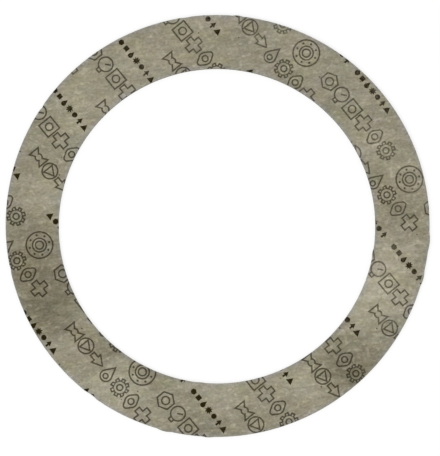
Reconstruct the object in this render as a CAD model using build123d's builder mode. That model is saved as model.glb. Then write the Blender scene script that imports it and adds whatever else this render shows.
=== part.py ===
from build123d import *
import os

# Ring gasket for a pipe flange, cut by hand from compressed fibre sheet.
#
# It is one flat piece. The ring lies on its underside with the printed face up, +Z runs up through
# the thickness, and the origin is on the underside, on the axis of the outer edge.
# All lengths are in millimetres and all angles in degrees, turning from +X towards +Y.

# The sheet and the two cuts that make the ring.
outside_diameter = 192.0
bore_diameter = 143.0
sheet_thickness = 2.0

# The bore was cut a little off the middle of the ring.
bore_shift_x = -0.15
bore_shift_y = -0.30

# The knife rolls over the corners of the face it enters. The far corners stay square.
rolled_edge_radius = 0.20

# The knife's path eases in and out of each rise and scoop on an arc of this radius.
easing_radius = 4.0

# Where the knife ran wide of the scribed circle it left a low, round-backed rise.
# Each rise is (angle, height of the rise, radius of its back).
outer_rises = [
    (355.5, 0.42, 18.0),
    (345.5, 0.38, 14.0),
    (267.5, 0.30, 10.0),
    (255.5, 0.42, 12.0),
    (84.5, 0.30, 8.0),
]
bore_rises = [
    (350.0, 0.30, 8.0),
    (264.0, 0.16, 16.0),
]

# Where it dug in it left a shallow scoop.
# Each scoop is (angle, depth of the scoop, radius of its hollow).
outer_scoops = [
    (233.5, 0.38, 14.0),
    (192.0, 0.22, 8.0),
    (146.0, 0.26, 6.0),
    (98.5, 0.20, 16.0),
]

outside_radius = outside_diameter / 2
bore_radius = bore_diameter / 2


# The bore's outline: a true circle that the rises stand into.
with BuildSketch() as bore_outline:
    with Locations((bore_shift_x, bore_shift_y)):
        Circle(bore_radius)
        for angle, height, back_radius in bore_rises:
            with PolarLocations(bore_radius - height + back_radius, 1, start_angle=angle):
                Circle(back_radius, mode=Mode.SUBTRACT)
    fillet(bore_outline.vertices(), radius=easing_radius)

# The ring's outline: a true circle with its rises and scoops, less the bore.
with BuildSketch() as ring_outline:
    Circle(outside_radius)
    for angle, height, back_radius in outer_rises:
        with PolarLocations(outside_radius + height - back_radius, 1, start_angle=angle):
            Circle(back_radius)
    for angle, depth, hollow_radius in outer_scoops:
        with PolarLocations(outside_radius - depth + hollow_radius, 1, start_angle=angle):
            Circle(hollow_radius, mode=Mode.SUBTRACT)
    fillet(ring_outline.vertices(), radius=easing_radius)
    add(bore_outline.sketch, mode=Mode.SUBTRACT)

with BuildPart() as gasket_ring:
    add(ring_outline.sketch)
    extrude(amount=sheet_thickness)
    printed_face = gasket_ring.faces().sort_by(Axis.Z)[-1]
    fillet(printed_face.edges(), radius=rolled_edge_radius)

gasket_ring.part.label = "gasket_ring"

os.makedirs("parts", exist_ok=True)
export_step(gasket_ring.part, "parts/gasket_ring.step")
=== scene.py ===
"""Dresses the flange gasket: one flat ring, cut by hand from printed, compressed fibre sheet.

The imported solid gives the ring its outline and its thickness. This script lays a finer skin over it,
with the knife's marks on the two cut edges, and finishes that skin: mottled fibre sheet, a plain
repeating print of pipework signs on the upper face, and raw fibre where the knife went through.
"""

import logging
import math
from dataclasses import dataclass, field
from enum import Enum
from functools import reduce

import bpy
import numpy as np
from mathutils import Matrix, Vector, noise


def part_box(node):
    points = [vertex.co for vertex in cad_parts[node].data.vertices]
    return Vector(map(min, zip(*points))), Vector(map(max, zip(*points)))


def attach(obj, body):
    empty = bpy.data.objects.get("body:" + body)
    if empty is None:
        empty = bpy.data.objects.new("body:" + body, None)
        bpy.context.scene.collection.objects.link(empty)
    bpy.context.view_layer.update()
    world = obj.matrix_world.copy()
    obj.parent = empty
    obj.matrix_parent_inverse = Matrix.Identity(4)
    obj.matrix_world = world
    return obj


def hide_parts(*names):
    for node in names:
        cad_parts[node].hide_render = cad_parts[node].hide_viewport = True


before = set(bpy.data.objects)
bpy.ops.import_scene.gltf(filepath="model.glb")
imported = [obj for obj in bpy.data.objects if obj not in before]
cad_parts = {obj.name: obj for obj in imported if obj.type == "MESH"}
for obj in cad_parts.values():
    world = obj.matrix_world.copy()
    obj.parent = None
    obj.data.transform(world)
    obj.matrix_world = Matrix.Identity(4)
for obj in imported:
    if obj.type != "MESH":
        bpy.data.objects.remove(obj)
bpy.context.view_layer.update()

LOG = logging.getLogger("flange_gasket")
RING_NODE = "gasket_ring"
RING_BODY = "root"
BAKE_MAP = "OFBake"
EDGE_ATTRIBUTE = "edge_distance"
MM = 0.001
THIRTY_DEGREES = math.radians(30.0)

Colour = tuple[float, float, float]
WHITE: Colour = (1.0, 1.0, 1.0)


class SheetRegion(Enum):
    """The parts of the ring's skin that have a finish each, in the order of its materials."""

    PRINTED_FACE = 0
    CUT_EDGE = 1
    UNDERSIDE = 2


class Cut(Enum):
    """The two cuts that make the ring."""

    BORE = "bore"
    OUTER = "outer"


class PrintRow(Enum):
    """The kinds of printed row, in the order in which they follow each other over the sheet."""

    SIGNS = 0
    MARKS = 1
    MORE_SIGNS = 2


class Motif(Enum):
    """The outlined signs of the print, in the order in which the rows count them."""

    HEX_NUT = 0
    FLOW_ARROW = 1
    OVAL_FLANGE = 2
    GAUGE = 3
    PUMP = 4
    COG = 5
    SQUARE_NUT = 6
    BALL_VALVE = 7
    DROP = 8
    PIPE_CROSS = 9


class BoldMark(Enum):
    """The small solid marks of the print, in the order in which the rows count them."""

    WEDGE = 0
    DISC = 1
    DROP = 2
    BOLT_HEAD = 3
    ARROW = 4
    COG = 5
    PLATE = 6


def written(red: int, green: int, blue: int) -> Colour:
    """Turns a colour as it is written for a screen into the linear one that a shader takes.

    Args:
        red: Red, 0 to 255.
        green: Green, 0 to 255.
        blue: Blue, 0 to 255.

    Returns:
        The linear colour, each part 0 to 1.
    """
    full, knee, slope, lift, power = 255, 0.04045, 12.92, 0.055, 2.4
    parts = [value / full for value in (red, green, blue)]
    return tuple(part / slope if part <= knee else ((part + lift) / (1 + lift)) ** power for part in parts)


class Field:
    """A number that varies over a surface, which arithmetic turns into more shader nodes."""

    def __init__(self, tree: bpy.types.ShaderNodeTree, socket: bpy.types.NodeSocket) -> None:
        """Keeps the tree that the number is worked out in, and the socket that gives it."""
        self.tree = tree
        self.socket = socket

    def _maths(self, operation: str, *values: "Field | float") -> "Field":
        """Adds one maths node.

        Args:
            operation: Blender's name for what the node does.
            *values: Its inputs, in order.

        Returns:
            The node's result.
        """
        node = self.tree.nodes.new("ShaderNodeMath")
        node.operation = operation
        for place, value in zip(node.inputs, values):
            if isinstance(value, Field):
                self.tree.links.new(value.socket, place)
            else:
                place.default_value = value
        return Field(self.tree, node.outputs[0])

    def __add__(self, other: "Field | float") -> "Field":
        """The sum."""
        return self._maths("ADD", self, other)

    def __sub__(self, other: "Field | float") -> "Field":
        """The difference."""
        return self._maths("SUBTRACT", self, other)

    def __mul__(self, other: "Field | float") -> "Field":
        """The product."""
        return self._maths("MULTIPLY", self, other)

    def __truediv__(self, other: "Field | float") -> "Field":
        """The quotient."""
        return self._maths("DIVIDE", self, other)

    def __neg__(self) -> "Field":
        """The same number with its sign turned."""
        return self._maths("MULTIPLY", self, -1.0)

    def size(self) -> "Field":
        """The number without its sign."""
        return self._maths("ABSOLUTE", self)

    def floor(self) -> "Field":
        """The whole number at or below it."""
        return self._maths("FLOOR", self)

    def root(self) -> "Field":
        """Its square root."""
        return self._maths("SQRT", self)

    def power(self, exponent: float) -> "Field":
        """The number raised to a power."""
        return self._maths("POWER", self, exponent)

    def cosine(self) -> "Field":
        """Its cosine, taken as an angle in radians."""
        return self._maths("COSINE", self)

    def sine(self) -> "Field":
        """Its sine, taken as an angle in radians."""
        return self._maths("SINE", self)

    def least(self, other: "Field | float") -> "Field":
        """The lesser of the two."""
        return self._maths("MINIMUM", self, other)

    def most(self, other: "Field | float") -> "Field":
        """The greater of the two."""
        return self._maths("MAXIMUM", self, other)

    def held(self) -> "Field":
        """The number, held between 0 and 1."""
        return self.least(1.0).most(0.0)

    def wrapped(self, span: float) -> "Field":
        """What is left above the last whole span, from 0 up to the span."""
        return self._maths("FLOORED_MODULO", self, span)

    def angle_of(self, across: "Field") -> "Field":
        """The angle, in radians, of the point that has this height and the given place across."""
        return self._maths("ARCTAN2", self, across)

    def is_near(self, value: float) -> "Field":
        """1 where the number is the given whole number, and 0 elsewhere."""
        reach = 0.5
        return self._maths("COMPARE", self, value, reach)

    def ramp(self, start: float, end: float) -> "Field":
        """Rises smoothly from 0 at start to 1 at end, where end may be the smaller.

        Args:
            start: Where the ramp is 0.
            end: Where the ramp is 1.

        Returns:
            The ramp, held at 0 and 1 outside its two ends.
        """
        node = self.tree.nodes.new("ShaderNodeMapRange")
        node.interpolation_type = "SMOOTHSTEP"
        rising = end > start
        node.inputs["From Min"].default_value = min(start, end)
        node.inputs["From Max"].default_value = max(start, end)
        node.inputs["To Min"].default_value = 0.0 if rising else 1.0
        node.inputs["To Max"].default_value = 1.0 if rising else 0.0
        self.tree.links.new(self.socket, node.inputs["Value"])
        return Field(self.tree, node.outputs["Result"])


@dataclass(frozen=True)
class Spot:
    """A place on the sheet, as how far it lies along and across from a middle, in mm.

    The methods that are named for a shape give the distance from the place to that shape's edge. It is
    less than 0 inside the shape.
    """

    x: Field
    y: Field

    def past(self, x: float = 0.0, y: float = 0.0) -> "Spot":
        """The same place, counted from a middle that lies this far along and across."""
        return Spot(self.x - x, self.y - y)

    def spread(self, times: float) -> "Spot":
        """A place this many times as far out."""
        return Spot(self.x * times, self.y * times)

    def shrunk(self, scale: float) -> "Spot":
        """The place in a shape that is drawn at this scale."""
        return Spot(self.x / scale, self.y / scale)

    def swapped(self) -> "Spot":
        """The place with along and across changed over, which lays a shape on its side."""
        return Spot(self.y, self.x)

    def turned(self, angle: float) -> "Spot":
        """The same place, in axes that are turned by this many radians."""
        run, rise = math.cos(angle), math.sin(angle)
        return Spot(self.x * run + self.y * rise, self.y * run - self.x * rise)

    def far(self) -> Field:
        """How far the place is from the middle."""
        return (self.x * self.x + self.y * self.y).root()

    def folded(self, times: int) -> "Spot":
        """Folds the plane round its middle into equal sectors, so that one shape stands in each.

        Args:
            times: How many sectors there are.

        Returns:
            The place in its own sector, which lies evenly on both sides of x.
        """
        sector = math.tau / times
        angle = self.y.angle_of(self.x).wrapped(sector) - sector / 2
        radius = self.far()
        return Spot(radius * angle.cosine(), radius * angle.sine())

    def disc(self, radius: float) -> Field:
        """A disc."""
        return self.far() - radius

    def box(self, half_length: float, half_height: float) -> Field:
        """An upright rectangle."""
        return (self.x.size() - half_length).most(self.y.size() - half_height)

    def hexagon(self, flat: float) -> Field:
        """A hexagon with flats above and below, and each flat this far from its middle."""
        slanted = self.x.size() * math.cos(THIRTY_DEGREES) + self.y.size() * math.sin(THIRTY_DEGREES)
        return slanted.most(self.y.size()) - flat

    def wedge(self, flat: float) -> Field:
        """A triangle with its point up, and each side this far from its middle."""
        slanted = self.x.size() * math.cos(THIRTY_DEGREES) + self.y * math.sin(THIRTY_DEGREES)
        return slanted.most(-self.y) - flat

    def cog(self) -> Field:
        """A toothed wheel."""
        tooth = self.folded(times=8).past(x=3.0).box(half_length=0.65, half_height=0.62)
        return tooth.least(self.disc(radius=2.65))

    def flow_arrow(self) -> Field:
        """A broad arrow that points along the row."""
        shaft = self.past(x=-1.3).box(half_length=1.8, half_height=1.0)
        return shaft.least(self.past(x=0.7).swapped().wedge(flat=1.35))

    def drop(self) -> Field:
        """Draws a drop of oil, a disc with a tip that runs smoothly into it.

        Returns:
            The distance to its edge.
        """
        radius, tip_height, slope = 2.35, 5.0, math.radians(28.0)
        run, rise = math.cos(slope), math.sin(slope)
        low = self.past(y=-1.3)
        side = low.x.size() * run + low.y * rise - tip_height * rise
        return side.most(-low.y + radius * rise).least(low.disc(radius))

    def oval_flange(self) -> Field:
        """Draws a two-bolt flange, a disc drawn out into two ears.

        Returns:
            The distance to its edge.
        """
        radius, ear, reach = 2.5, 1.15, 2.5
        slope = math.asin((radius - ear) / reach)
        quarter = Spot(self.x.size(), self.y.size())
        side = quarter.turned(slope)
        flank = (side.x - radius).most(-side.y).most(side.y - reach * math.cos(slope))
        return flank.least(quarter.disc(radius)).least(quarter.past(y=reach).disc(ear))

    def ball_valve(self) -> Field:
        """Draws a valve, two cones that meet at a ball.

        Returns:
            The distance to its edge.
        """
        flare, half_length, ball = math.radians(36.0), 3.2, 1.4
        flank = self.y.size() * math.cos(flare) - self.x.size() * math.sin(flare)
        return flank.most(self.x.size() - half_length).least(self.disc(ball))

    def gauge(self) -> Field:
        """A round dial on its short neck."""
        neck = self.past(y=-3.0).box(half_length=0.85, half_height=0.7)
        return self.past(y=0.5).disc(radius=2.95).least(neck)

    def needle(self) -> Field:
        """The line of the dial's needle, which has no width of its own."""
        half_length = 0.9
        return self.past(y=0.5).turned(math.radians(40.0)).past(x=half_length).box(half_length, 0.0)

    def sign(self, motif: Motif) -> Field:
        """Draws the lines of one outlined sign.

        Args:
            motif: Which sign.

        Returns:
            The distance to the middle of the nearest line, which is never less than 0.
        """
        side = self.swapped()
        outlines = {
            Motif.HEX_NUT: lambda: (side.hexagon(flat=3.15), self.disc(radius=1.6)),
            Motif.FLOW_ARROW: lambda: (self.flow_arrow(),),
            Motif.OVAL_FLANGE: lambda: (self.oval_flange(), self.disc(radius=1.2)),
            Motif.GAUGE: lambda: (self.gauge(), self.needle()),
            Motif.PUMP: lambda: (self.disc(radius=3.15), side.wedge(flat=1.25)),
            Motif.COG: lambda: (self.cog(), self.disc(radius=1.2)),
            Motif.SQUARE_NUT: lambda: (self.box(half_length=3.0, half_height=3.0), self.disc(radius=1.5)),
            Motif.BALL_VALVE: lambda: (self.ball_valve(),),
            Motif.DROP: lambda: (self.drop(), self.past(y=-1.5).disc(radius=1.0)),
            Motif.PIPE_CROSS: lambda: (self.box(1.2, 3.4).least(self.box(3.3, 1.2)),),
        }[motif]()
        return reduce(Field.least, [outline.size() for outline in outlines])

    def mark(self, bold: BoldMark) -> Field:
        """Draws one small solid mark.

        Args:
            bold: Which mark.

        Returns:
            The distance to its edge.
        """
        drop_shrunk, cog_shrunk = 2.0, 2.2
        return {
            BoldMark.WEDGE: lambda: self.past(y=-0.45).wedge(flat=1.02),
            BoldMark.DISC: lambda: self.disc(radius=1.28),
            BoldMark.DROP: lambda: self.spread(drop_shrunk).drop() * (1 / drop_shrunk),
            BoldMark.BOLT_HEAD: lambda: self.swapped().hexagon(flat=1.26),
            BoldMark.ARROW: lambda: self.past(y=0.3).wedge(0.76).least(self.past(y=-1.0).box(0.45, 0.8)),
            BoldMark.COG: lambda: self.spread(cog_shrunk).cog() * (1 / cog_shrunk),
            BoldMark.PLATE: lambda: self.box(half_length=1.15, half_height=1.15),
        }[bold]()


@dataclass(frozen=True)
class Blotches:
    """One layer of soft blotches, such as felted fibre shows.

    The size is how far it is from one to the next, in mm. Detail is how many finer layers lie over
    them, and drawn_out is how many times longer than wide they are, along the grain. The amount is what
    the strongest add or take away, in the unit of whatever the layer varies. The seed moves the
    pattern, so that two of one size differ. Where there is a crest, only what rises above its first
    height shows, and it shows in full from its second.
    """

    size: float
    detail: float
    drawn_out: float
    amount: float
    seed: float
    crest: tuple[float, float] | None = None


class Workbench:
    """One material's node tree, with the few tools that the finishes share. Lengths are in mm.

    The gloss is how much light every finish mirrors, and the finer share is how strong each finer layer
    of some blotches is beside the one before it.
    """

    gloss: float = 0.06
    finer_share: float = 0.55

    def __init__(self, name: str, grain_turn: float) -> None:
        """Starts an empty material.

        Args:
            name: The material's name.
            grain_turn: The direction in which the rollers drew the sheet out, in degrees from X.
        """
        self.material = bpy.data.materials.new(name)
        self.material.use_nodes = True
        self.tree = self.material.node_tree
        self.tree.nodes.clear()
        coordinates = self.tree.nodes.new("ShaderNodeTexCoord")
        scaled = self.tree.nodes.new("ShaderNodeVectorMath")
        scaled.operation = "SCALE"
        scaled.inputs["Scale"].default_value = 1 / MM
        self.tree.links.new(coordinates.outputs["Object"], scaled.inputs[0])
        self.place = scaled.outputs[0]
        parts = self.tree.nodes.new("ShaderNodeSeparateXYZ")
        self.tree.links.new(self.place, parts.inputs[0])
        self.x, self.y, self.z = (Field(self.tree, socket) for socket in parts.outputs)
        self.grain = Spot(self.x, self.y).turned(math.radians(grain_turn))

    def from_edge(self) -> Field:
        """Reads how far the place is from the nearest cut edge.

        Returns:
            The distance, in mm.
        """
        node = self.tree.nodes.new("ShaderNodeAttribute")
        node.attribute_name = EDGE_ATTRIBUTE
        return Field(self.tree, node.outputs["Fac"])

    def at(self, x: Field, y: Field, z: Field) -> bpy.types.NodeSocket:
        """Makes a place out of three numbers.

        Args:
            x: Its first number.
            y: Its second number.
            z: Its third number.

        Returns:
            The socket that gives the place.
        """
        node = self.tree.nodes.new("ShaderNodeCombineXYZ")
        for socket, value in zip(node.inputs, (x, y, z)):
            self.tree.links.new(value.socket, socket)
        return node.outputs[0]

    def clouds(self, layer: Blotches, shift: float) -> Field:
        """Lays one layer of soft blotches.

        Args:
            layer: The layer.
            shift: Added to its seed, so that the layer can be laid again in another pattern.

        Returns:
            What the layer adds, which is about 0 on average where it has no crest.
        """
        node = self.tree.nodes.new("ShaderNodeTexNoise")
        node.noise_dimensions = "3D"
        node.inputs["Scale"].default_value = 1.0
        node.inputs["Detail"].default_value = layer.detail
        node.inputs["Roughness"].default_value = self.finer_share
        place = self.at(
            self.grain.x * (1 / (layer.size * layer.drawn_out)),
            self.grain.y * (1 / layer.size),
            self.z * (1 / layer.size) + (layer.seed + shift),
        )
        self.tree.links.new(place, node.inputs["Vector"])
        middle, reach = 0.5, 0.25
        height = (Field(self.tree, node.outputs["Fac"]) - middle) * (1 / reach)
        if layer.crest:
            height = height.ramp(*layer.crest)
        return height * layer.amount

    def laid(self, layers: tuple[Blotches, ...], under: Field | None = None, shift: float = 0.0) -> Field:
        """The sum of some layers of blotches, each seed shifted, and of what they are laid over."""
        heights = [self.clouds(layer, shift) for layer in layers]
        return reduce(Field.__add__, heights if under is None else [under, *heights])

    def specks(self, spacing: float, radius: float, share: float) -> Field:
        """Scatters small round specks evenly.

        Args:
            spacing: How far apart their places are, in mm.
            radius: The radius of the largest, in mm.
            share: The share of the places that hold one.

        Returns:
            1 in a speck and 0 outside it.
        """
        smallest, soft_edge, step = 0.4, 0.35, 0.001
        node = self.tree.nodes.new("ShaderNodeTexVoronoi")
        node.voronoi_dimensions = "2D"
        node.feature = "F1"
        node.inputs["Scale"].default_value = 1 / spacing
        self.tree.links.new(self.place, node.inputs["Vector"])
        distance = Field(self.tree, node.outputs["Distance"]) * spacing
        channels = self.tree.nodes.new("ShaderNodeSeparateColor")
        self.tree.links.new(node.outputs["Color"], channels.inputs[0])
        chance, growth = (Field(self.tree, channel) for channel in channels.outputs[:2])
        grown = growth * (radius * (1 - smallest)) + radius * smallest
        return (distance - grown).ramp(radius * soft_edge, 0.0) * chance.ramp(share + step, share)

    def flat(self, colour: Colour) -> bpy.types.NodeSocket:
        """Makes a plain colour, for mixing with others.

        Args:
            colour: The colour.

        Returns:
            The socket that gives it.
        """
        node = self.tree.nodes.new("ShaderNodeRGB")
        node.outputs[0].default_value = (*colour, 1.0)
        return node.outputs[0]

    def mixed(
        self, share: Field, first: bpy.types.NodeSocket, second: bpy.types.NodeSocket
    ) -> bpy.types.NodeSocket:
        """Mixes two colours.

        Args:
            share: How much of the second there is, from 0 to 1.
            first: The colour at 0.
            second: The colour at 1.

        Returns:
            The mixed colour.
        """
        node = self.tree.nodes.new("ShaderNodeMix")
        node.data_type = "RGBA"
        self.tree.links.new(share.socket, node.inputs["Factor"])
        colours = [socket for socket in node.inputs if socket.type == "RGBA"]
        self.tree.links.new(first, colours[0])
        self.tree.links.new(second, colours[1])
        return next(socket for socket in node.outputs if socket.type == "RGBA")

    def tinted(self, colour: bpy.types.NodeSocket, tint: bpy.types.NodeSocket) -> bpy.types.NodeSocket:
        """Multiplies a colour by another that is nearly white.

        Args:
            colour: The colour.
            tint: The nearly white one.

        Returns:
            Their product.
        """
        node = self.tree.nodes.new("ShaderNodeVectorMath")
        node.operation = "MULTIPLY"
        self.tree.links.new(colour, node.inputs[0])
        self.tree.links.new(tint, node.inputs[1])
        return node.outputs[0]

    def finish(
        self, colour: bpy.types.NodeSocket, roughness: Field, relief: Field, depth: float
    ) -> bpy.types.Material:
        """Puts the shader on.

        Args:
            colour: The surface's colour.
            roughness: Its roughness.
            relief: Its fine relief, of about -1 to 1.
            depth: How deep the relief is from 0 to 1, in mm.

        Returns:
            The finished material.
        """
        shader = self.tree.nodes.new("ShaderNodeBsdfPrincipled")
        shader.inputs["Specular IOR Level"].default_value = self.gloss
        bump = self.tree.nodes.new("ShaderNodeBump")
        bump.inputs["Strength"].default_value = 1.0
        bump.inputs["Distance"].default_value = depth * MM
        output = self.tree.nodes.new("ShaderNodeOutputMaterial")
        self.tree.links.new(relief.socket, bump.inputs["Height"])
        self.tree.links.new(bump.outputs["Normal"], shader.inputs["Normal"])
        self.tree.links.new(colour, shader.inputs["Base Color"])
        self.tree.links.new(roughness.socket, shader.inputs["Roughness"])
        self.tree.links.new(shader.outputs[0], output.inputs["Surface"])
        return self.material


@dataclass(frozen=True)
class TonePatch:
    """A broad, soft patch of the ring that is a little darker or paler than the rest.

    The angle is in degrees, the radius and the reach are in mm, and the amount is in levels of 255.
    """

    angle: float
    radius: float
    reach: float
    amount: float

    def tone(self, bench: Workbench) -> Field:
        """Lays the patch.

        Args:
            bench: The material's workbench.

        Returns:
            What it adds to the tone, in levels.
        """
        angle = math.radians(self.angle)
        middle = self.radius * math.cos(angle), self.radius * math.sin(angle)
        return Spot(bench.x, bench.y).past(*middle).far().ramp(self.reach, 0.0) * self.amount


@dataclass(frozen=True)
class TintSwing:
    """Two tints that the sheet swings between, and the seed that sets its blotches apart."""

    first: Colour
    second: Colour
    seed: float


@dataclass(frozen=True)
class FibreSheet:
    """The body of compressed fibre sheet: felted fibre and filler, bound with rubber and calendered.

    Its tone counts levels of 255 up from the darkest colour to the palest, and an evenness above 1
    makes the dark places wider. Lengths are in mm. Towards a cut edge the sheet is greyed and darkened
    by painted shade and handling dirt, and right at the edge it is pale, from torn fibre and a painted
    highlight. The core of that pale rim is the share of it that is palest.
    """

    darkest: Colour = written(98, 92, 72)
    palest: Colour = written(190, 184, 162)
    span: float = 92.0
    middle_tone: float = 51.8
    evenness: float = 1.32
    grain_turn: float = 7.0
    swings: tuple[TintSwing, ...] = (
        TintSwing(first=(1.0, 1.0, 1.090), second=(1.0, 1.0, 0.910), seed=5.0),
        TintSwing(first=(0.957, 1.0, 0.984), second=(1.043, 1.0, 1.016), seed=27.0),
    )
    swing_layers: tuple[Blotches, ...] = (
        Blotches(size=2.2, detail=1.0, drawn_out=1.3, amount=0.30, seed=0.0),
        Blotches(size=8.0, detail=2.0, drawn_out=1.3, amount=0.43, seed=10.0),
    )
    speck: Colour = written(66, 60, 40)
    speck_spacing: float = 9.0
    speck_radius: float = 0.38
    speck_share: float = 0.22
    speck_strength: float = 0.75
    cut: Colour = written(124, 121, 110)
    # Pale rim right at a cut edge: partly torn fibre, partly a painted highlight where the rolled edge
    # would catch the light.
    torn: Colour = written(172, 168, 150)
    torn_and_highlight_rim: float = 0.55
    torn_and_highlight_core: float = 0.2
    torn_and_highlight_share: float = 0.25
    # Painted shade and handling dirt: the skin greys and darkens within this reach of a cut edge, as if the
    # rolled edge caught less light.
    dirt_and_shade_rim: float = 2.9
    dirt_and_shade_share: float = 0.8
    dirt_and_shade_tint: Colour = (0.945, 0.975, 1.165)
    ragged: tuple[Blotches, ...] = (
        Blotches(size=1.6, detail=2.0, drawn_out=1.0, amount=0.12, seed=75.0),
    )
    layers: tuple[Blotches, ...] = (
        Blotches(size=16.0, detail=1.0, drawn_out=2.6, amount=3.4, seed=11.0),
        Blotches(size=6.0, detail=2.0, drawn_out=3.0, amount=7.4, seed=22.0),
        Blotches(size=2.5, detail=2.0, drawn_out=2.4, amount=10.4, seed=33.0),
        Blotches(size=0.9, detail=1.0, drawn_out=1.5, amount=11.0, seed=44.0),
        Blotches(size=0.35, detail=1.0, drawn_out=1.5, amount=4.0, seed=55.0),
        Blotches(size=1.1, detail=1.0, drawn_out=8.0, amount=1.8, seed=66.0),
        Blotches(size=1.9, detail=0.0, drawn_out=1.2, amount=15.0, seed=77.0, crest=(0.45, 0.95)),
        Blotches(size=3.6, detail=1.0, drawn_out=1.5, amount=13.0, seed=88.0, crest=(0.5, 1.1)),
    )
    patches: tuple[TonePatch, ...] = (
        TonePatch(angle=189.0, radius=87.0, reach=25.0, amount=-15.0),
        TonePatch(angle=204.0, radius=84.0, reach=26.0, amount=-28.0),
        TonePatch(angle=228.0, radius=75.0, reach=15.0, amount=-14.0),
        TonePatch(angle=238.0, radius=87.0, reach=19.0, amount=20.0),
        TonePatch(angle=248.0, radius=72.0, reach=13.0, amount=-12.0),
        TonePatch(angle=262.0, radius=94.0, reach=18.0, amount=-8.0),
        TonePatch(angle=272.0, radius=94.0, reach=15.0, amount=-7.0),
        TonePatch(angle=274.0, radius=77.0, reach=16.0, amount=9.0),
        TonePatch(angle=300.0, radius=84.0, reach=15.0, amount=12.0),
        TonePatch(angle=313.0, radius=88.0, reach=21.0, amount=-25.0),
        TonePatch(angle=325.0, radius=91.0, reach=13.0, amount=-6.0),
        TonePatch(angle=337.0, radius=77.0, reach=26.0, amount=20.0),
        TonePatch(angle=350.0, radius=82.0, reach=16.0, amount=11.0),
        TonePatch(angle=5.0, radius=84.0, reach=17.0, amount=-7.0),
        TonePatch(angle=28.0, radius=79.0, reach=17.0, amount=12.0),
        TonePatch(angle=66.0, radius=90.0, reach=19.0, amount=10.0),
        TonePatch(angle=98.0, radius=89.0, reach=20.0, amount=7.0),
        TonePatch(angle=116.0, radius=86.0, reach=22.0, amount=11.0),
        TonePatch(angle=139.0, radius=80.0, reach=24.0, amount=9.0),
        TonePatch(angle=168.0, radius=79.0, reach=17.0, amount=6.0),
    )

    def body(self, bench: Workbench) -> bpy.types.NodeSocket:
        """Mixes the mottled colour of the sheet, before anything is printed on it.

        Args:
            bench: The material's workbench.

        Returns:
            The colour.
        """
        patches = reduce(Field.__add__, [patch.tone(bench) for patch in self.patches])
        tone = bench.laid(self.layers, patches + self.middle_tone)
        share = (tone / self.span).held().power(self.evenness)
        colour = bench.mixed(share, bench.flat(self.darkest), bench.flat(self.palest))
        for swing in self.swings:
            place = (bench.laid(self.swing_layers, shift=swing.seed) + 0.5).held()
            tint = bench.mixed(place, bench.flat(swing.first), bench.flat(swing.second))
            colour = bench.tinted(colour, tint)
        specks = bench.specks(self.speck_spacing, self.speck_radius, self.speck_share)
        return bench.mixed(specks * self.speck_strength, colour, bench.flat(self.speck))

    def rimmed(self, bench: Workbench, colour: bpy.types.NodeSocket) -> bpy.types.NodeSocket:
        """Greys and darkens the sheet's skin towards a cut edge with painted shade and handling dirt, and
        pales it right at the edge, where the knife tore its fibres and a painted highlight stands for the
        rolled edge.

        Args:
            bench: The material's workbench.
            colour: The sheet's colour.

        Returns:
            The colour with its rim.
        """
        ragged = bench.laid(self.ragged, bench.from_edge())
        # Painted shade and handling dirt, greying and darkening the skin near a cut edge.
        dirt_and_shade = ragged.ramp(self.dirt_and_shade_rim, 0.0) * self.dirt_and_shade_share
        tint = bench.mixed(dirt_and_shade, bench.flat(WHITE), bench.flat(self.dirt_and_shade_tint))
        # Pale rim at the very edge: torn fibre and a painted highlight.
        torn = ragged.ramp(self.torn_and_highlight_rim, self.torn_and_highlight_rim * self.torn_and_highlight_core) * self.torn_and_highlight_share
        return bench.mixed(torn, bench.tinted(colour, tint), bench.flat(self.torn))


@dataclass(frozen=True)
class PrintLayout:
    """Where the printed rows run and what they are made of. Lengths are in mm.

    The rows run slantwise over the sheet in threes: outlined signs with a flange sign in the gap of
    each repeat, small solid marks with one place left out, and outlined signs again, with more of them
    to a repeat. Each sign or mark is a stride further down its list than the last, so that neighbours
    differ. What is named more is added in the row with more signs: to their number, to the stride, and
    to where in the list the row starts.
    """

    slant: float = -51.0
    row_pitch: float = 12.4
    repeat: float = 74.0
    stagger: float = 24.0
    first_shift: float = 26.8
    start: float = 4.0
    sign_scale: float = 1.12
    sign_pitch: float = 8.1
    sign_stride: int = 3
    signs: int = 6
    more_signs: int = 1
    more_stride: int = 4
    more_start: int = 7
    mark_scale: float = 0.97
    mark_pitch: float = 3.6
    mark_stride: int = 3
    marks: int = 15
    left_out: int = 7
    flange_rings: tuple[float, ...] = (6.0, 3.12, 1.8)
    flange_bolts: int = 8
    bolt_circle: float = 4.56
    bolt_radius: float = 0.52
    stroke: float = 0.72
    soft_edge: float = 0.12
    outline_strength: float = 0.81
    along_wander: tuple[Blotches, ...] = (
        Blotches(size=1.1, detail=1.0, drawn_out=1.0, amount=0.07, seed=86.0),
    )
    across_wander: tuple[Blotches, ...] = (
        Blotches(size=1.1, detail=1.0, drawn_out=1.0, amount=0.07, seed=97.0),
    )


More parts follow.
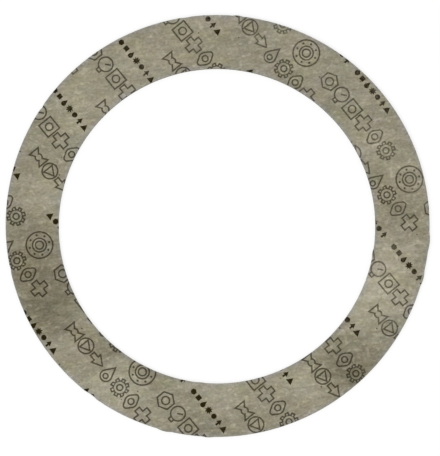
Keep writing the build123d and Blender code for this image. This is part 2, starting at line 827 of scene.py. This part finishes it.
class PrintedRows:
    """Works out where the print's ink lies. Lengths are in mm."""

    def __init__(self, bench: Workbench, layout: PrintLayout) -> None:
        """Sets the print's own axes on the sheet.

        Args:
            bench: The material's workbench.
            layout: Where the rows run.
        """
        self.layout = layout
        x = bench.laid(layout.along_wander, bench.x)
        y = bench.laid(layout.across_wander, bench.y)
        rows = Spot(x, y).turned(math.radians(layout.slant))
        self.along, self.across = rows.x, rows.y

    def height(self, row: Field) -> Field:
        """How far across from the middle of a row a place lies."""
        return self.across - (row + 0.5) * self.layout.row_pitch

    def run(self, row: Field) -> Field:
        """How far along its repeat a place lies, in the given row."""
        layout = self.layout
        return (self.along + row * layout.stagger + layout.first_shift).wrapped(layout.repeat)

    def placed(self, pitch: float, count: Field | float, row: Field) -> tuple[Field, Field]:
        """Divides a row into the places of its marks.

        Args:
            pitch: How far apart the marks are.
            count: How many of them a repeat holds.
            row: The row's number.

        Returns:
            The place along the row from the nearest mark's middle, and that mark's number.
        """
        run = self.run(row) - self.layout.start
        number = (run / pitch + 0.5).floor().most(0.0).least(count - 1.0)
        return run - number * pitch, number

    def chosen(self, shapes: list[Field], number: Field) -> Field:
        """The distance to one shape out of several, where the number counts them round and round."""
        turn = number.wrapped(len(shapes))
        return reduce(Field.__add__, [shape * turn.is_near(place) for place, shape in enumerate(shapes)])

    def outlined_signs(self, row: Field, kind: Field) -> Field:
        """Lays the rows of outlined signs.

        Args:
            row: The row's number.
            kind: The number of its kind.

        Returns:
            The distance to the edge of the nearest line.
        """
        layout = self.layout
        more = kind.is_near(PrintRow.MORE_SIGNS.value)
        x, number = self.placed(layout.sign_pitch, more * layout.more_signs + layout.signs, row)
        spot = Spot(x, self.height(row)).shrunk(layout.sign_scale)
        stride = more * layout.more_stride + layout.sign_stride
        order = number * stride + more * layout.more_start
        nearest = self.chosen([spot.sign(motif) for motif in Motif], order) * layout.sign_scale
        return nearest - layout.stroke / 2

    def solid_marks(self, row: Field) -> Field:
        """Lays the rows of small solid marks.

        Args:
            row: The row's number.

        Returns:
            The distance to the edge of the nearest mark.
        """
        layout = self.layout
        x, number = self.placed(layout.mark_pitch, layout.marks, row)
        spot = Spot(x, self.height(row)).shrunk(layout.mark_scale)
        marks = self.chosen([spot.mark(bold) for bold in BoldMark], number * layout.mark_stride)
        return marks * layout.mark_scale + number.is_near(layout.left_out) * layout.mark_pitch

    def flange_signs(self) -> Field:
        """Lays the round signs of a bolted flange, seen from its end. They are taller than a row, and
        stand in the gaps of the first row of each three.

        Returns:
            The distance to the edge of the nearest line.
        """
        layout = self.layout
        kinds = len(PrintRow)
        row = ((self.across / layout.row_pitch + 1.0) / kinds).floor() * kinds
        gap = (layout.repeat + layout.signs * layout.sign_pitch) / 2
        spot = Spot(self.run(row) - gap, self.height(row))
        bolt = spot.folded(layout.flange_bolts).past(x=layout.bolt_circle).disc(layout.bolt_radius)
        rings = [spot.disc(radius).size() - layout.stroke / 2 for radius in layout.flange_rings]
        return reduce(Field.least, rings, bolt)

    def inked(self, distance: Field) -> Field:
        """How much ink lies at this distance from an edge."""
        return distance.ramp(self.layout.soft_edge, -self.layout.soft_edge)

    def ink(self) -> Field:
        """Lays every row.

        Returns:
            How much of the sheet the ink covers, from 0 to 1.
        """
        row = (self.across / self.layout.row_pitch).floor()
        kind = row.wrapped(len(PrintRow))
        in_marks = kind.is_near(PrintRow.MARKS.value)
        signs = self.inked(self.outlined_signs(row, kind)) * (-in_marks + 1.0)
        marks = self.inked(self.solid_marks(row)) * in_marks
        return (signs.most(self.inked(self.flange_signs())) * self.layout.outline_strength).most(marks)


@dataclass(frozen=True)
class PrintedFaceFinish:
    """The upper face: calendered fibre sheet with a dark print on it. Lengths are in mm.

    The roller pressed harder on the heavy side, whose direction is in degrees, and its ink wore thin in
    blotches. The ink is a little smoother than the sheet.
    """

    sheet: FibreSheet
    layout: PrintLayout = PrintLayout()
    ink: Colour = written(35, 27, 0)
    ink_strength: float = 0.98
    heavy_side: float = 215.0
    heavier_by: float = 0.12
    ring_radius: float = 84.0
    wear: tuple[Blotches, ...] = (
        Blotches(size=16.0, detail=1.0, drawn_out=1.0, amount=0.15, seed=108.0),
        Blotches(size=0.9, detail=2.0, drawn_out=1.0, amount=0.17, seed=119.0),
    )
    relief: tuple[Blotches, ...] = (
        Blotches(size=0.55, detail=2.0, drawn_out=1.4, amount=0.5, seed=130.0),
        Blotches(size=2.4, detail=1.0, drawn_out=1.4, amount=0.5, seed=141.0),
    )
    relief_depth: float = 0.05
    roughness: float = 0.72
    rougher_by: float = 0.06
    smoother_by: float = 0.08

    def make(self) -> bpy.types.Material:
        """Builds the material.

        Returns:
            The material.
        """
        bench = Workbench("printed_face", self.sheet.grain_turn)
        # The rim: painted shade and handling dirt near each cut edge, and a pale rim of torn fibre and
        # painted highlight at the edge.
        colour = self.sheet.rimmed(bench, self.sheet.body(bench))
        cover = PrintedRows(bench, self.layout).ink()
        density = (self.press(bench) + bench.laid(self.wear) + self.ink_strength).least(1.0)
        colour = bench.mixed(cover * density, colour, bench.flat(self.ink))
        relief = bench.laid(self.relief)
        roughness = relief * self.rougher_by - cover * self.smoother_by + self.roughness
        return bench.finish(colour, roughness, relief, self.relief_depth)

    def press(self, bench: Workbench) -> Field:
        """Works out how much more ink than the middle a place took.

        Args:
            bench: The material's workbench.

        Returns:
            What the press adds to the ink's density, which is less than 0 on the lighter side.
        """
        side = math.radians(self.heavy_side)
        run = bench.x * math.cos(side) + bench.y * math.sin(side)
        return run * (self.heavier_by / self.ring_radius)


@dataclass(frozen=True)
class UndersideFinish:
    """The lower face: the same sheet with no print, and with a coarser relief. Lengths are in mm."""

    sheet: FibreSheet
    relief: tuple[Blotches, ...] = (
        Blotches(size=0.7, detail=2.0, drawn_out=1.4, amount=0.6, seed=152.0),
        Blotches(size=3.0, detail=1.0, drawn_out=1.4, amount=0.4, seed=163.0),
    )
    relief_depth: float = 0.06
    roughness: float = 0.76
    rougher_by: float = 0.06

    def make(self) -> bpy.types.Material:
        """Builds the material.

        Returns:
            The material.
        """
        bench = Workbench("underside", self.sheet.grain_turn)
        # The rim: painted shade and handling dirt near each cut edge, and a pale rim of torn fibre and
        # painted highlight at the edge.
        colour = self.sheet.rimmed(bench, self.sheet.body(bench))
        relief = bench.laid(self.relief)
        return bench.finish(colour, relief * self.rougher_by + self.roughness, relief, self.relief_depth)


@dataclass(frozen=True)
class CutEdgeFinish:
    """Where the knife went through: raw fibre in thin layers, paler where it is torn.

    Lengths are in mm. The layers wave up and down, and torn fibre stands out of them.
    """

    sheet: FibreSheet
    pale: Colour = written(150, 146, 130)
    pale_share: float = 0.45
    paler_by: float = 0.5
    layer: float = 0.22
    layer_wave: tuple[Blotches, ...] = (
        Blotches(size=6.0, detail=2.0, drawn_out=1.0, amount=0.9, seed=174.0),
    )
    layer_relief: float = 0.35
    tear: tuple[Blotches, ...] = (Blotches(size=0.5, detail=2.0, drawn_out=1.0, amount=0.6, seed=185.0),)
    relief_depth: float = 0.10
    roughness: float = 0.85
    rougher_by: float = 0.05

    def make(self) -> bpy.types.Material:
        """Builds the material.

        Returns:
            The material.
        """
        bench = Workbench("cut_edge", self.sheet.grain_turn)
        wavy = bench.laid(self.layer_wave, bench.z * (1 / self.layer))
        torn = bench.laid(self.tear) + (wavy * math.tau).sine() * self.layer_relief
        share = (torn * self.paler_by + self.pale_share).held()
        colour = bench.mixed(share, bench.flat(self.sheet.cut), bench.flat(self.pale))
        return bench.finish(colour, torn * self.rougher_by + self.roughness, torn, self.relief_depth)


@dataclass
class CutOutlines:
    """The ring's two cuts, each as a radius for every angle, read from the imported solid."""

    angles: dict[Cut, np.ndarray] = field(default_factory=dict)
    radii: dict[Cut, np.ndarray] = field(default_factory=dict)

    def read(self, node: bpy.types.Object) -> None:
        """Reads both cuts off the solid's flat underside.

        Args:
            node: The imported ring.
        """
        flatness = 0.01 * MM
        points = np.array([vertex.co for vertex in node.data.vertices], float).reshape(-1, 3)
        flat = points[points[:, 2] < points[:, 2].min() + flatness]
        radius = np.hypot(flat[:, 0], flat[:, 1])
        angle = np.arctan2(flat[:, 1], flat[:, 0])
        middle = (radius.min() + radius.max()) / 2
        for cut, members in ((Cut.BORE, radius < middle), (Cut.OUTER, radius >= middle)):
            order = np.argsort(angle[members])
            self.angles[cut] = angle[members][order]
            self.radii[cut] = radius[members][order]

    def radius(self, cut: Cut, angle: np.ndarray) -> np.ndarray:
        """The cut's radius at each of some angles in radians, in metres."""
        return np.interp(angle, self.angles[cut], self.radii[cut], period=math.tau)

    def band(self) -> float:
        """How wide the ring is from one cut to the other on average, in metres."""
        return float(self.radii[Cut.OUTER].mean() - self.radii[Cut.BORE].mean())


@dataclass(frozen=True)
class SectionPoint:
    """One point of the ring's section.

    Across is 0 at the bore and 1 at the outer edge. Inset is how far the point lies in from the edge
    and height is how far above the table, both in metres. The region is that of the skin after it.
    """

    across: float
    inset: float
    height: float
    region: SheetRegion


@dataclass
class GasketRing:
    """The ring itself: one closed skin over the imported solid, in metres.

    The seeds set the knife's marks on one cut apart from those on the other. On the map for baking,
    each side of the skin is cut into its own number of arcs.
    """

    name: str = "gasket_sheet"
    sectors: int = 1440
    face_rows: int = 12
    wall_rows: int = 6
    roll_rows: int = 3
    rolled_edge: float = 0.20 * MM
    wander: float = 0.30 * MM
    wander_lobes: int = 3
    wander_turn: float = 12.0
    knife_chatter: float = 0.07 * MM
    chatter_size: float = 2.2 * MM
    fibre_tear: float = 0.05 * MM
    tear_size: float = 0.7 * MM
    outer_seed: float = 0.0
    bore_seed: float = 40.0
    face_hollow: float = 0.02 * MM
    hollow_size: float = 7.0 * MM
    sharp_corner: float = 50.0
    map_gap: float = 1.1 * MM
    face_arcs: int = 3
    outer_wall_arcs: int = 4
    bore_wall_arcs: int = 3
    outlines: CutOutlines = field(default_factory=CutOutlines)
    thickness: float = 0.0

    def build(self, node: bpy.types.Object) -> bpy.types.Object:
        """Builds the skin.

        Args:
            node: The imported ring, which the skin follows.

        Returns:
            The skin.
        """
        self.outlines.read(node)
        low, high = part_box(RING_NODE)
        self.thickness = high.z - low.z
        section = self.section()
        radius, height = self.places(section)
        angle = self.sector_angles()
        points = np.stack([radius * np.cos(angle), radius * np.sin(angle), height], axis=-1)
        mesh = bpy.data.meshes.new(self.name)
        mesh.from_pydata(points.reshape(-1, 3).tolist(), [], self.faces(len(section)).tolist())
        mesh.polygons.foreach_set("use_smooth", [True] * len(mesh.polygons))
        mesh.set_sharp_from_angle(angle=math.radians(self.sharp_corner))
        regions = np.repeat([point.region.value for point in section], self.sectors)
        mesh.polygons.foreach_set("material_index", regions.astype(np.int32))
        self.mark_edges(mesh, radius)
        self.lay_out_map(mesh, section)
        mesh.update()
        ring = bpy.data.objects.new(self.name, mesh)
        bpy.context.scene.collection.objects.link(ring)
        return ring

    def sector_angles(self) -> np.ndarray:
        """The angle of each sector's first side, in radians."""
        return np.arange(self.sectors) * (math.tau / self.sectors)

    def section(self) -> list[SectionPoint]:
        """Walks round the section: out along the underside, up the outer wall, in over the printed
        face and down the bore. The last point is joined to the first.

        Returns:
            The points of the section, in order.
        """
        roll = self.rolled_edge
        wall_top = self.thickness - roll
        face_steps = [step / self.face_rows for step in range(self.face_rows)]
        wall_steps = [step / self.wall_rows for step in range(self.wall_rows)]
        roll_turns = [math.pi / 2 * step / self.roll_rows for step in range(self.roll_rows)]
        rolled = [(roll * (1 - math.cos(turn)), wall_top + roll * math.sin(turn)) for turn in roll_turns]
        rolled.append((roll, self.thickness))
        walk = [SectionPoint(step, 0.0, 0.0, SheetRegion.UNDERSIDE) for step in face_steps]
        walk += [SectionPoint(1.0, 0.0, wall_top * step, SheetRegion.CUT_EDGE) for step in wall_steps]
        walk += [SectionPoint(1.0, *place, SheetRegion.PRINTED_FACE) for place in rolled[:-1]]
        walk += [SectionPoint(1.0 - step, *rolled[-1], SheetRegion.PRINTED_FACE) for step in face_steps]
        walk += [SectionPoint(0.0, *place, SheetRegion.PRINTED_FACE) for place in rolled[:0:-1]]
        walk += [SectionPoint(0.0, 0.0, wall_top * (1 - step), SheetRegion.CUT_EDGE) for step in wall_steps]
        return walk

    def places(self, section: list[SectionPoint]) -> tuple[np.ndarray, np.ndarray]:
        """Works out where each point of the section stands at each angle.

        Args:
            section: The points of the section.

        Returns:
            The radius and the height of every point, one row for each point of the section.
        """
        angle = self.sector_angles()
        bore = self.outlines.radius(Cut.BORE, angle)
        outer = self.outlines.radius(Cut.OUTER, angle) - self.cut_wander(angle)
        across = np.array([point.across for point in section])[:, None]
        inset = np.array([point.inset for point in section])[:, None]
        height = np.array([point.height for point in section])[:, None] + np.zeros(self.sectors)
        radius = (bore + inset) * (1 - across) + (outer - inset) * across
        for row, point in enumerate(section):
            if point.across == 1.0:
                radius[row] -= self.knife_marks(outer, angle, point.height, self.outer_seed)
            elif point.across == 0.0:
                radius[row] += self.knife_marks(bore, angle, point.height, self.bore_seed)
            else:
                inward = self.face_hollows(radius[row], angle, point.height)
                height[row] += inward if point.region is SheetRegion.UNDERSIDE else -inward
        return radius, height

    def cut_wander(self, angle: np.ndarray) -> np.ndarray:
        """How far the outer cut strays inside the scribed circle at each angle, in a few broad lobes."""
        turned = self.wander_lobes * (angle - math.radians(self.wander_turn))
        return self.wander * (1 - np.cos(turned)) / 2

    def around(self, radius: np.ndarray, angle: np.ndarray) -> list[Vector]:
        """The places at these radii and angles, on the table."""
        return [Vector((math.cos(turn), math.sin(turn), 0.0)) * reach for reach, turn in zip(radius, angle)]

    def knife_marks(self, radius: np.ndarray, angle: np.ndarray, height: float, seed: float) -> np.ndarray:
        """Works out how far the cut lies behind a clean one at one height: the blade's chatter, which
        runs from face to face, and torn fibre, which doesn't.

        Args:
            radius: The cut's radius at each angle, in metres.
            angle: The angles, in radians.
            height: The height, in metres.
            seed: Sets one cut's marks apart from the other's.

        Returns:
            The depth at each angle, in metres, which is never less than 0.
        """
        depth = np.empty(self.sectors)
        for sector, place in enumerate(self.around(radius, angle)):
            blade = noise.noise(place / self.chatter_size + Vector((0.0, 0.0, seed)))
            torn = noise.noise(place / self.tear_size + Vector((0.0, 0.0, seed + height / self.tear_size)))
            depth[sector] = self.knife_chatter * (blade + 1) / 2 + self.fibre_tear * max(0.0, torn)
        return depth

    def face_hollows(self, radius: np.ndarray, angle: np.ndarray, height: float) -> np.ndarray:
        """Works out how far a face lies below its highest places, from the uneven felt under its skin.

        Args:
            radius: The radius of the row at each angle, in metres.
            angle: The angles, in radians.
            height: The height of the face, in metres.

        Returns:
            The depth at each angle, in metres, which is never less than 0.
        """
        depth = np.empty(self.sectors)
        for sector, place in enumerate(self.around(radius, angle)):
            place.z = height
            depth[sector] = self.face_hollow * (noise.noise(place / self.hollow_size) + 1) / 2
        return depth

    def faces(self, rows: int) -> np.ndarray:
        """Joins the points into faces that look outwards.

        Args:
            rows: How many points the section has.

        Returns:
            The numbers of the four points of each face, one row for each face.
        """
        row, sector = np.meshgrid(np.arange(rows), np.arange(self.sectors), indexing="ij")
        next_row, next_sector = (row + 1) % rows, (sector + 1) % self.sectors
        corners = [(row, sector), (row, next_sector), (next_row, next_sector), (next_row, sector)]
        return np.stack([r * self.sectors + s for r, s in corners], axis=-1).reshape(-1, 4)

    def mark_edges(self, mesh: bpy.types.Mesh, radius: np.ndarray) -> None:
        """Keeps on each point how far it is from the nearest cut edge, in mm, for the finishes.

        Args:
            mesh: The skin.
            radius: The radius of every point, one row for each point of the section.
        """
        distance = np.minimum(radius - radius.min(axis=0), radius.max(axis=0) - radius) / MM
        attribute = mesh.attributes.new(EDGE_ATTRIBUTE, "FLOAT", "POINT")
        attribute.data.foreach_set("value", distance.reshape(-1).astype(np.float32))

    def lay_out_map(self, mesh: bpy.types.Mesh, section: list[SectionPoint]) -> None:
        """Lays the skin out flat, each side cut into a few arcs that lie above each other.

        Args:
            mesh: The skin.
            section: The points of the section.
        """
        lengths = [self.section_step(start, end) for start, end in zip(section, section[1:] + section[:1])]
        sides = self.map_sides()
        strips = [sum(lengths[row] for row in rows) + self.map_gap for rows, _ in sides]
        total = sum(arcs * strip for (_, arcs), strip in zip(sides, strips))
        margin = self.map_gap / 2 / total
        corners = np.zeros((len(section), self.sectors, 4, 2))
        floor_height = self.map_gap / 2
        for (rows, arcs), strip in zip(sides, strips):
            per_arc = self.sectors // arcs
            arc, within = np.divmod(np.arange(self.sectors), per_arc)
            left = margin + (1 - 2 * margin) * within / per_arc
            right = margin + (1 - 2 * margin) * (within + 1) / per_arc
            climbed = 0.0
            for row in rows:
                low = (floor_height + arc * strip + climbed) / total
                high = low + lengths[row] / total
                climbed += lengths[row]
                corners[row] = np.moveaxis([(left, low), (right, low), (right, high), (left, high)], -1, 0)
            floor_height += arcs * strip
        layer = mesh.uv_layers.new(name=BAKE_MAP)
        layer.data.foreach_set("uv", corners.reshape(-1).astype(np.float32))

    def section_step(self, start: SectionPoint, end: SectionPoint) -> float:
        """How long the section is from one point to the next, in metres."""
        run = (end.across - start.across) * self.outlines.band() + start.inset - end.inset
        return math.hypot(run, end.height - start.height)

    def map_sides(self) -> list[tuple[range, int]]:
        """Lists the sides of the skin that lie apart on the map.

        Returns:
            The rows of faces on each side, and the number of arcs it is cut into.
        """
        outer_wall = self.face_rows
        printed = outer_wall + self.wall_rows
        bore_wall = printed + self.face_rows + 2 * self.roll_rows
        end = bore_wall + self.wall_rows
        return [
            (range(outer_wall), self.face_arcs),
            (range(outer_wall, printed), self.outer_wall_arcs),
            (range(printed, bore_wall), self.face_arcs),
            (range(bore_wall, end), self.bore_wall_arcs),
        ]

    def dress(self, ring: bpy.types.Object) -> None:
        """Gives each region of the skin its finish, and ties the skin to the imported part.

        Args:
            ring: The skin.
        """
        sheet = FibreSheet()
        finishes = {
            SheetRegion.PRINTED_FACE: PrintedFaceFinish(sheet),
            SheetRegion.CUT_EDGE: CutEdgeFinish(sheet),
            SheetRegion.UNDERSIDE: UndersideFinish(sheet),
        }
        for region in SheetRegion:
            ring.data.materials.append(finishes[region].make())
        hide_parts(RING_NODE)
        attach(ring, RING_BODY)


@dataclass(frozen=True)
class Studio:
    """The table, the light and the camera. Lengths are in metres and angles in degrees."""

    table_size: float = 24.0
    table_drop: float = 0.1 * MM
    table_colour: float = 0.80
    shown_colour: float = 0.28
    table_glow: float = 0.75
    sky_strength: float = 0.62
    lamp_size: float = 1.6
    lamp_distance: float = 2.2
    lamp_azimuth: float = -35.0
    lamp_elevation: float = 66.0
    lamp_power: float = 20.0
    camera_elevation: float = 84.0
    camera_distance: float = 4.0
    camera_target: tuple[float, float] = (1.21 * MM, -1.14 * MM)
    clip_reach: float = 10.0
    view_height: float = 206.2 * MM
    sensor: float = 36.0

    def set_up(self) -> None:
        """Makes the table, the light and the camera."""
        bpy.context.scene.view_settings.view_transform = "Standard"
        self.lay_table()
        self.light_sky()
        self.hang_lamp()
        self.place_camera()

    def seen_directly(self, tree: bpy.types.ShaderNodeTree) -> Field:
        """Tells what the camera sees, itself or in a mirror or through glass, from other light.

        Args:
            tree: The tree to work it out in.

        Returns:
            1 for what the camera sees, and 0 for other light.
        """
        node = tree.nodes.new("ShaderNodeLightPath")
        camera = Field(tree, node.outputs["Is Camera Ray"])
        mirror = Field(tree, node.outputs["Is Glossy Ray"])
        glass = Field(tree, node.outputs["Is Transmission Ray"])
        return camera.most(mirror).most(glass)

    def lay_table(self) -> None:
        """Makes the pale table that the ring lies on. It keeps the ring's shadow."""
        half = self.table_size / 2
        corners = [(-half, -half), (half, -half), (half, half), (-half, half)]
        mesh = bpy.data.meshes.new("table")
        mesh.from_pydata([(x, y, -self.table_drop) for x, y in corners], [], [(0, 1, 2, 3)])
        table = bpy.data.objects.new("table", mesh)
        bpy.context.scene.collection.objects.link(table)
        material = bpy.data.materials.new("white_table")
        material.use_nodes = True
        tree = material.node_tree
        tree.nodes.clear()
        paint = tree.nodes.new("ShaderNodeBsdfDiffuse")
        glow = tree.nodes.new("ShaderNodeEmission")
        both = tree.nodes.new("ShaderNodeAddShader")
        output = tree.nodes.new("ShaderNodeOutputMaterial")
        seen = self.seen_directly(tree)
        tree.links.new((seen * self.table_glow).socket, glow.inputs["Strength"])
        colour = seen * (self.shown_colour - self.table_colour) + self.table_colour
        tree.links.new(colour.socket, paint.inputs["Color"])
        tree.links.new(paint.outputs[0], both.inputs[0])
        tree.links.new(glow.outputs[0], both.inputs[1])
        tree.links.new(both.outputs[0], output.inputs["Surface"])
        mesh.materials.append(material)

    def light_sky(self) -> None:
        """Makes the soft light from all round, which looks white where the camera sees it."""
        world = bpy.data.worlds.new("studio")
        bpy.context.scene.world = world
        world.use_nodes = True
        tree = world.node_tree
        tree.nodes.clear()
        background = tree.nodes.new("ShaderNodeBackground")
        output = tree.nodes.new("ShaderNodeOutputWorld")
        strength = self.seen_directly(tree) * (1 - self.sky_strength) + self.sky_strength
        tree.links.new(strength.socket, background.inputs["Strength"])
        tree.links.new(background.outputs[0], output.inputs["Surface"])
        background.inputs["Color"].default_value = (*WHITE, 1.0)

    def direction(self, azimuth: float, elevation: float) -> Vector:
        """The direction to a place this far round to the right of the front, and this far up."""
        turn, rise = math.radians(azimuth), math.radians(elevation)
        return Vector((math.sin(turn) * math.cos(rise), -math.cos(turn) * math.cos(rise), math.sin(rise)))

    def hang_lamp(self) -> None:
        """Hangs the large soft lamp that gives the light its slight slant."""
        lamp = bpy.data.lights.new("soft_lamp", "AREA")
        lamp.shape = "DISK"
        lamp.size = self.lamp_size
        lamp.energy = self.lamp_power
        hung = bpy.data.objects.new("soft_lamp", lamp)
        towards = self.direction(self.lamp_azimuth, self.lamp_elevation)
        hung.location = towards * self.lamp_distance
        hung.rotation_euler = (-towards).to_track_quat("-Z", "Y").to_euler()
        bpy.context.scene.collection.objects.link(hung)

    def place_camera(self) -> None:
        """Places the camera nearly overhead, far off, so that the ring hardly tapers."""
        lens = bpy.data.cameras.new("camera")
        lens.sensor_width = self.sensor
        lens.lens = self.sensor * self.camera_distance / self.view_height
        lens.clip_start = self.camera_distance / self.clip_reach
        lens.clip_end = self.camera_distance * self.clip_reach
        camera = bpy.data.objects.new("camera", lens)
        towards = self.direction(0.0, self.camera_elevation)
        camera.location = Vector((*self.camera_target, 0.0)) + towards * self.camera_distance
        camera.rotation_euler = (-towards).to_track_quat("-Z", "Y").to_euler()
        bpy.context.scene.collection.objects.link(camera)
        bpy.context.scene.camera = camera


def main() -> None:
    """Builds and dresses each piece in order, then the studio round it."""
    logging.basicConfig(level=logging.INFO, format="%(name)s: %(message)s")
    gasket = GasketRing()
    ring = gasket.build(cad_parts[RING_NODE])
    gasket.dress(ring)
    LOG.info("%s: %d faces, %.2f mm thick", ring.name, len(ring.data.polygons), gasket.thickness / MM)
    Studio().set_up()
    LOG.info("studio: table, sky, lamp and camera")


if __name__ == "__main__":
    main()
